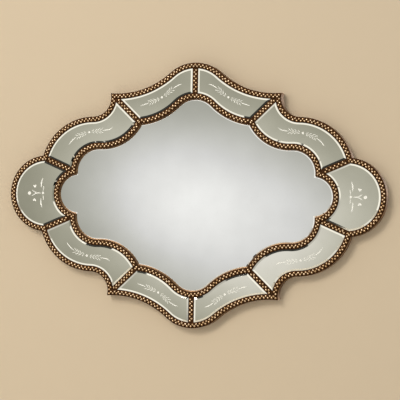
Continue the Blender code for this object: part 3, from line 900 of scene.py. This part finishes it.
def lobe_bud(sign_x):
    """Cutters for the bud in a side lobe."""
    cutters = [model_eye(Vector((x * sign_x, z)), diameter) for (x, z), diameter in LOBE_EYES]
    for knots, width in LOBE_STROKES:
        spine = smooth_spine([Vector((x * sign_x, z)) for x, z in knots], LOBE_SPINE_STEPS)
        cutters.append(model_stroke(spine, width, END_STROKE_STEPS))
    return cutters


def cut_motif(piece, cutters):
    """Cut a motif into the front of a glass."""
    deselect()
    for cutter in cutters:
        cutter.select_set(True)
    bpy.context.view_layer.objects.active = cutters[0]
    bpy.ops.object.join()
    tool = bpy.context.object
    only(piece)
    carve = piece.modifiers.new("motif", "BOOLEAN")
    carve.operation = "DIFFERENCE"
    carve.solver = "EXACT"
    carve.use_self = True
    carve.material_mode = "TRANSFER"
    carve.object = tool
    bpy.ops.object.modifier_apply(modifier="motif")
    bpy.data.objects.remove(tool, do_unlink=True)


def make_panel(number, word):
    """A bevelled mirror panel with its wheel-cut motif."""
    half = MOULDING_WIDTH / 2 + GAP
    right = DIVIDERS[number][1].beside(half)
    left = DIVIDERS[(number + 1) % len(DIVIDERS)][1].beside(-half)
    foot = cell_ring(right, left, 0.0, PANEL_STEPS)
    crest = cell_ring(right, left, BEVEL_WIDTH, PANEL_STEPS)
    rings = [
        level_ring(foot, PANEL_BACK_Y),
        level_ring(foot, PANEL_FRONT_Y + BEVEL_DEPTH),
        level_ring(crest, PANEL_FRONT_Y),
    ]
    piece = extruded_rings("glass_" + word, rings, closed=False)
    paint_glass(piece, PANEL_SILVER)
    sign_x = 1 if "right" in word else -1
    sign_z = -1 if "lower" in word or "bottom" in word else 1
    if "lobe" in word:
        cutters = lobe_bud(sign_x)
    else:
        cutters = sprig(SIDE_SPRIG if "side" in word else TOP_SPRIG, SPRIG_EYE, sign_x, sign_z)
    cut_motif(piece, cutters)
    smooth_below(piece, GLASS_SHARP)
    finish_piece(piece, "panel_" + word)


def make_centre_glass():
    """The large bevelled glass in the middle."""
    foot = smooth_loop(OPENING_RUNS, -GAP)
    crest = smooth_loop(OPENING_RUNS, -GAP - BEVEL_WIDTH)
    rings = [
        level_ring(foot, CENTRE_BACK_Y),
        level_ring(foot, CENTRE_FRONT_Y + BEVEL_DEPTH),
        level_ring(crest, CENTRE_FRONT_Y),
    ]
    piece = extruded_rings("glass_centre", rings, closed=False)
    paint_glass(piece, CENTRE_SILVER)
    smooth_below(piece, GLASS_SHARP)
    finish_piece(piece, "centre_glass")


def dress_cad_nodes():
    """Finishes for the board and the hangers, whose solids show as they are; the screws get none here."""
    for name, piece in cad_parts.items():
        if name == "backing_board":
            finish = BOARD_PAINT
        elif name.startswith("hanger"):
            finish = ZINC
        else:
            continue
        piece.data.materials.clear()
        piece.data.materials.append(finish)


# Where the camera stood and how it was turned, worked out from the mirror's outline in the photograph.
# The lens is in millimetres
CAMERA_PLACE = Vector((1.1727, -4.3358, -0.0853))
CAMERA_TURN = 15.006
CAMERA_LIFT = 0.940
CAMERA_ROLL = 1.058
CAMERA_LENS = 153.85


def make_camera():
    """The camera, to the right of the mirror and a little below its middle."""
    data = bpy.data.cameras.new("camera")
    data.lens = CAMERA_LENS
    data.clip_end = 50.0
    camera = bpy.data.objects.new("camera", data)
    turn, lift, roll = (math.radians(angle) for angle in (CAMERA_TURN, CAMERA_LIFT, CAMERA_ROLL))
    ahead = Vector((-math.sin(turn) * math.cos(lift), math.cos(turn) * math.cos(lift), math.sin(lift)))
    right = Vector((math.cos(turn), math.sin(turn), 0))
    up = right.cross(ahead)
    tilted_right = math.cos(roll) * right + math.sin(roll) * up
    tilted_up = -math.sin(roll) * right + math.cos(roll) * up
    camera.matrix_world = Matrix.Translation(CAMERA_PLACE) @ Matrix(
        (tilted_right, tilted_up, -ahead)).transposed().to_4x4()
    bpy.context.scene.collection.objects.link(camera)
    bpy.context.scene.camera = camera


def plain(name, code, roughness):
    """A plain stage surface."""
    made = bpy.data.materials.new(name)
    made.use_nodes = True
    shader = made.node_tree.nodes["Principled BSDF"]
    shader.inputs["Base Color"].default_value = colour(code)
    shader.inputs["Roughness"].default_value = roughness
    return made


def stage_plane(name, width, height, place, turn):
    """A flat stage piece, turned by so many degrees about X and then about Z."""
    deselect()
    bpy.ops.mesh.primitive_plane_add(size=1)
    piece = bpy.context.object
    piece.name = name
    piece.data.transform(Matrix.Translation(place) @ Matrix.Rotation(math.radians(turn[1]), 4, "Z")
                         @ Matrix.Rotation(math.radians(turn[0]), 4, "X")
                         @ Matrix.Diagonal((width, height, 1, 1)))
    return piece


WALL_WIDTH = 6.0
WALL_HEIGHT = 3.0
FLOOR_Z = -1.35
WALL_GAP = 0.0008


def make_wall():
    """A plain warm wall behind the mirror. It shows from the front only, so that the back can be seen."""
    wall = stage_plane("wall", WALL_WIDTH, WALL_HEIGHT, (0, WALL_GAP, FLOOR_Z + WALL_HEIGHT / 2), (90, 0))
    wall.visible_shadow = False
    paint = plain("warm_plaster", "#CDBDA4", 0.9)
    tree = paint.node_tree
    shader = tree.nodes["Principled BSDF"]
    side = add_node(tree, "ShaderNodeNewGeometry")
    clear = add_node(tree, "ShaderNodeBsdfTransparent")
    mix = add_node(tree, "ShaderNodeMixShader", links={
        0: side.outputs["Backfacing"], 1: shader.outputs["BSDF"], 2: clear.outputs["BSDF"]})
    tree.links.new(mix.outputs["Shader"], tree.nodes["Material Output"].inputs["Surface"])
    wall.data.materials.append(paint)


def make_floor():
    """A plain pale floor, well below the mirror."""
    floor = stage_plane("floor", WALL_WIDTH * 2, WALL_WIDTH * 2, (0, 0, FLOOR_Z), (0, 0))
    floor.data.materials.append(plain("pale_floor", "#D9D6D0", 0.8))


def light(name, place, aim, size, power, code):
    """A soft flat light that looks at a place."""
    data = bpy.data.lights.new(name, "AREA")
    data.shape = "RECTANGLE"
    data.size, data.size_y = size
    data.energy = power
    data.color = colour(code)[:3]
    lamp = bpy.data.objects.new(name, data)
    lamp.location = place
    lamp.rotation_euler = (Vector(aim) - Vector(place)).to_track_quat("-Z", "Y").to_euler()
    bpy.context.scene.collection.objects.link(lamp)


# The screen that the glass reflects stands in the camera's own plane. Each glow on it is given by
# its middle and reach on the mirror's face, and by how much light it adds
SCREEN_LIGHT = 0.31
SCREEN_DEPTH = CAMERA_PLACE.y
SCREEN_SIZE = (3.85, 1.9)
SCREEN_MIDDLE = (-0.50, 0.085)
GLOWS = [
    ((0.075, -0.045), 0.375, 0.61),
    ((0.370, -0.055), 0.270, 0.23),
    ((-0.180, 0.030), 0.315, 0.33),
    ((0.270, -0.260), 0.220, 0.13),
    ((0.000, 0.300), 0.120, 0.07),
]

# The pale surround that only the bevels and the beads see, and the soft shades on it: middle,
# reach of the full shade, reach of its fading edge, share of the light it takes away
SURROUND_LIGHT = 1.0
SURROUND_DEPTH = SCREEN_DEPTH - 0.1
SURROUND_SIZE = (15.0, 7.4)
SURROUND_MIDDLE = (-3.0, 2.3)
SHADES = [
    ((0.3, -0.4), 1.5, 1.9, 0.97),
    ((-3.2, 1.8), 2.2, 2.8, 0.50),
    ((1.60, -1.00), 0.60, 0.85, 0.95),
]

# Pale cards and dark flags on the floor, for the bevels that lean down: middle, width, depth, light
CARD_Z = FLOOR_Z + 0.01
FLAG_Z = FLOOR_Z + 0.02
FLAG_LIGHT = 0.04
FLOOR_CARDS = [
    ("floor_card_left", (-2.4, -2.4, CARD_Z), 3.4, 3.2, 1.0),
    ("floor_card_right", (1.7, -1.6, CARD_Z), 1.6, 1.6, 0.8),
    ("floor_card_middle", (-0.425, -1.825, CARD_Z), 0.55, 0.15, 1.0),
    ("floor_flag_far_left", (-1.85, -1.90, FLAG_Z), 0.7, 0.4, FLAG_LIGHT),
    ("floor_flag_corner", (-0.99, -1.85, FLAG_Z), 0.26, 0.1, FLAG_LIGHT),
    ("floor_flag_left", (-0.645, -2.275, FLAG_Z), 0.43, 0.75, FLAG_LIGHT),
    ("floor_flag_low", (-0.58, -1.62, FLAG_Z), 0.26, 0.22, FLAG_LIGHT),
    ("floor_flag_near", (0.2, -2.25, CARD_Z), 1.3, 0.7, FLAG_LIGHT),
    ("floor_flag_far", (0.5, -3.3, CARD_Z), 1.9, 1.4, FLAG_LIGHT),
]

# A dark flag high in front of the surround, for the bevels that lean up: width, height, middle
HIGH_FLAG = (3.4, 0.75, (-2.4, SURROUND_DEPTH + 0.05, 3.55))


def glowing(name, strength):
    """A stage surface that only gives light: its material, node tree and glow."""
    made = bpy.data.materials.new(name)
    made.use_nodes = True
    tree = made.node_tree
    tree.nodes.clear()
    glow = add_node(tree, "ShaderNodeEmission", {"Color": colour("#FFFDF8"), "Strength": strength})
    output = add_node(tree, "ShaderNodeOutputMaterial")
    tree.links.new(glow.outputs["Emission"], output.inputs["Surface"])
    return made, tree, glow


def for_reflections(piece):
    """Keep a stage piece to what the glass and the bronze reflect."""
    piece.visible_camera = False
    piece.visible_diffuse = False
    piece.visible_shadow = False


def fading(tree, spot, near, far, inside, outside):
    """A value round a spot, one up to a near distance and another from a far distance on."""
    place = add_node(tree, "ShaderNodeTexCoord").outputs["Object"]
    away = add_node(tree, "ShaderNodeVectorMath", {1: spot}, {0: place}, operation="DISTANCE")
    fade = add_node(tree, "ShaderNodeMapRange", {"From Min": near, "From Max": far, "To Min": inside,
                    "To Max": outside}, {"Value": away.outputs["Value"]}, interpolation_type="SMOOTHSTEP")
    return fade.outputs["Result"]


def make_screen():
    """The pale studio screen that the glass reflects, brightest where the middle of the glass shows it.
    Its weaker light is a little yellow."""
    middle = (SCREEN_MIDDLE[0], SCREEN_DEPTH, SCREEN_MIDDLE[1])
    screen = stage_plane("screen", *SCREEN_SIZE, middle, (90, 0))
    for_reflections(screen)
    made, tree, glow = glowing("studio_screen", 1.0)
    total = add_node(tree, "ShaderNodeValue").outputs[0]
    total.default_value = SCREEN_LIGHT
    for (x, z), reach, strength in GLOWS:
        spot = (2 * x - CAMERA_PLACE.x, SCREEN_DEPTH, 2 * z - CAMERA_PLACE.z)
        patch = fading(tree, spot, 0.0, 2 * reach, strength, 0.0)
        total = add_node(tree, "ShaderNodeMath", links={0: total, 1: patch}, operation="ADD").outputs[0]
    tree.links.new(total, glow.inputs["Strength"])
    tint = add_node(tree, "ShaderNodeValToRGB", links={"Fac": total}, stops=[
        (0.30, colour("#FFFFEE")), (0.75, colour("#FFFFFF"))])
    tree.links.new(tint.outputs["Color"], glow.inputs["Color"])
    screen.data.materials.append(made)


def make_surround():
    """The shaded surround behind the screen, the high flag, and the cards and flags on the floor."""
    middle = (SURROUND_MIDDLE[0], SURROUND_DEPTH, SURROUND_MIDDLE[1])
    surround = stage_plane("surround", *SURROUND_SIZE, middle, (90, 0))
    for_reflections(surround)
    made, tree, glow = glowing("studio_surround", 1.0)
    total = add_node(tree, "ShaderNodeValue").outputs[0]
    total.default_value = SURROUND_LIGHT
    for (x, z), near, far, share in SHADES:
        shade = fading(tree, (x, SURROUND_DEPTH, z), near, far, 1 - share, 1.0)
        product = add_node(tree, "ShaderNodeMath", links={0: total, 1: shade}, operation="MULTIPLY")
        total = product.outputs[0]
    tree.links.new(total, glow.inputs["Strength"])
    surround.data.materials.append(made)
    flag = stage_plane("high_flag", *HIGH_FLAG, (90, 0))
    for_reflections(flag)
    flag.data.materials.append(glowing("high_flag", FLAG_LIGHT)[0])
    for name, middle, width, depth, strength in FLOOR_CARDS:
        card = stage_plane(name, width, depth, middle, (0, 0))
        for_reflections(card)
        card.data.materials.append(glowing(name, strength)[0])


def make_world():
    """A pale even light from all round."""
    world = bpy.data.worlds.new("studio")
    world.use_nodes = True
    bpy.context.scene.world = world
    back = world.node_tree.nodes["Background"]
    back.inputs["Color"].default_value = colour("#EDEBE6")
    back.inputs["Strength"].default_value = 0.65


def make_lights():
    """A soft key from above, a fill from the left, and a pair behind for the back. All look at the
    middle of the mirror."""
    light("key", (-1.15, -4.0, 1.95), (0, 0, 0), (1.5, 1.5), 92, "#FFF8EE")
    light("fill", (-2.6, -3.6, 0.4), (0, 0, 0), (1.1, 1.1), 18, "#FFF6EA")
    light("back_left", (-1.8, 2.6, 1.6), (0, 0, 0), (1.2, 1.2), 50, "#FFFFFF")
    light("back_right", (1.8, 2.6, 0.6), (0, 0, 0), (1.2, 1.2), 36, "#FFFFFF")


make_moulding("moulding_outer", "outer_rim", RIM_RUNS, 0.0, 0.0)
make_moulding("moulding_inner", "inner_rim", OPENING_RUNS, MOULDING_WIDTH, RING_FOOT_Y)
for divider_word, divider_axis in DIVIDERS:
    make_divider(divider_word, divider_axis)
for panel_number, panel_word in enumerate(PANELS):
    make_panel(panel_number, panel_word)
make_centre_glass()
dress_cad_nodes()
bpy.data.objects.remove(BEAD, do_unlink=True)

make_camera()
make_wall()
make_floor()
make_screen()
make_surround()
make_world()
make_lights()
bpy.context.scene.view_settings.view_transform = "Standard"
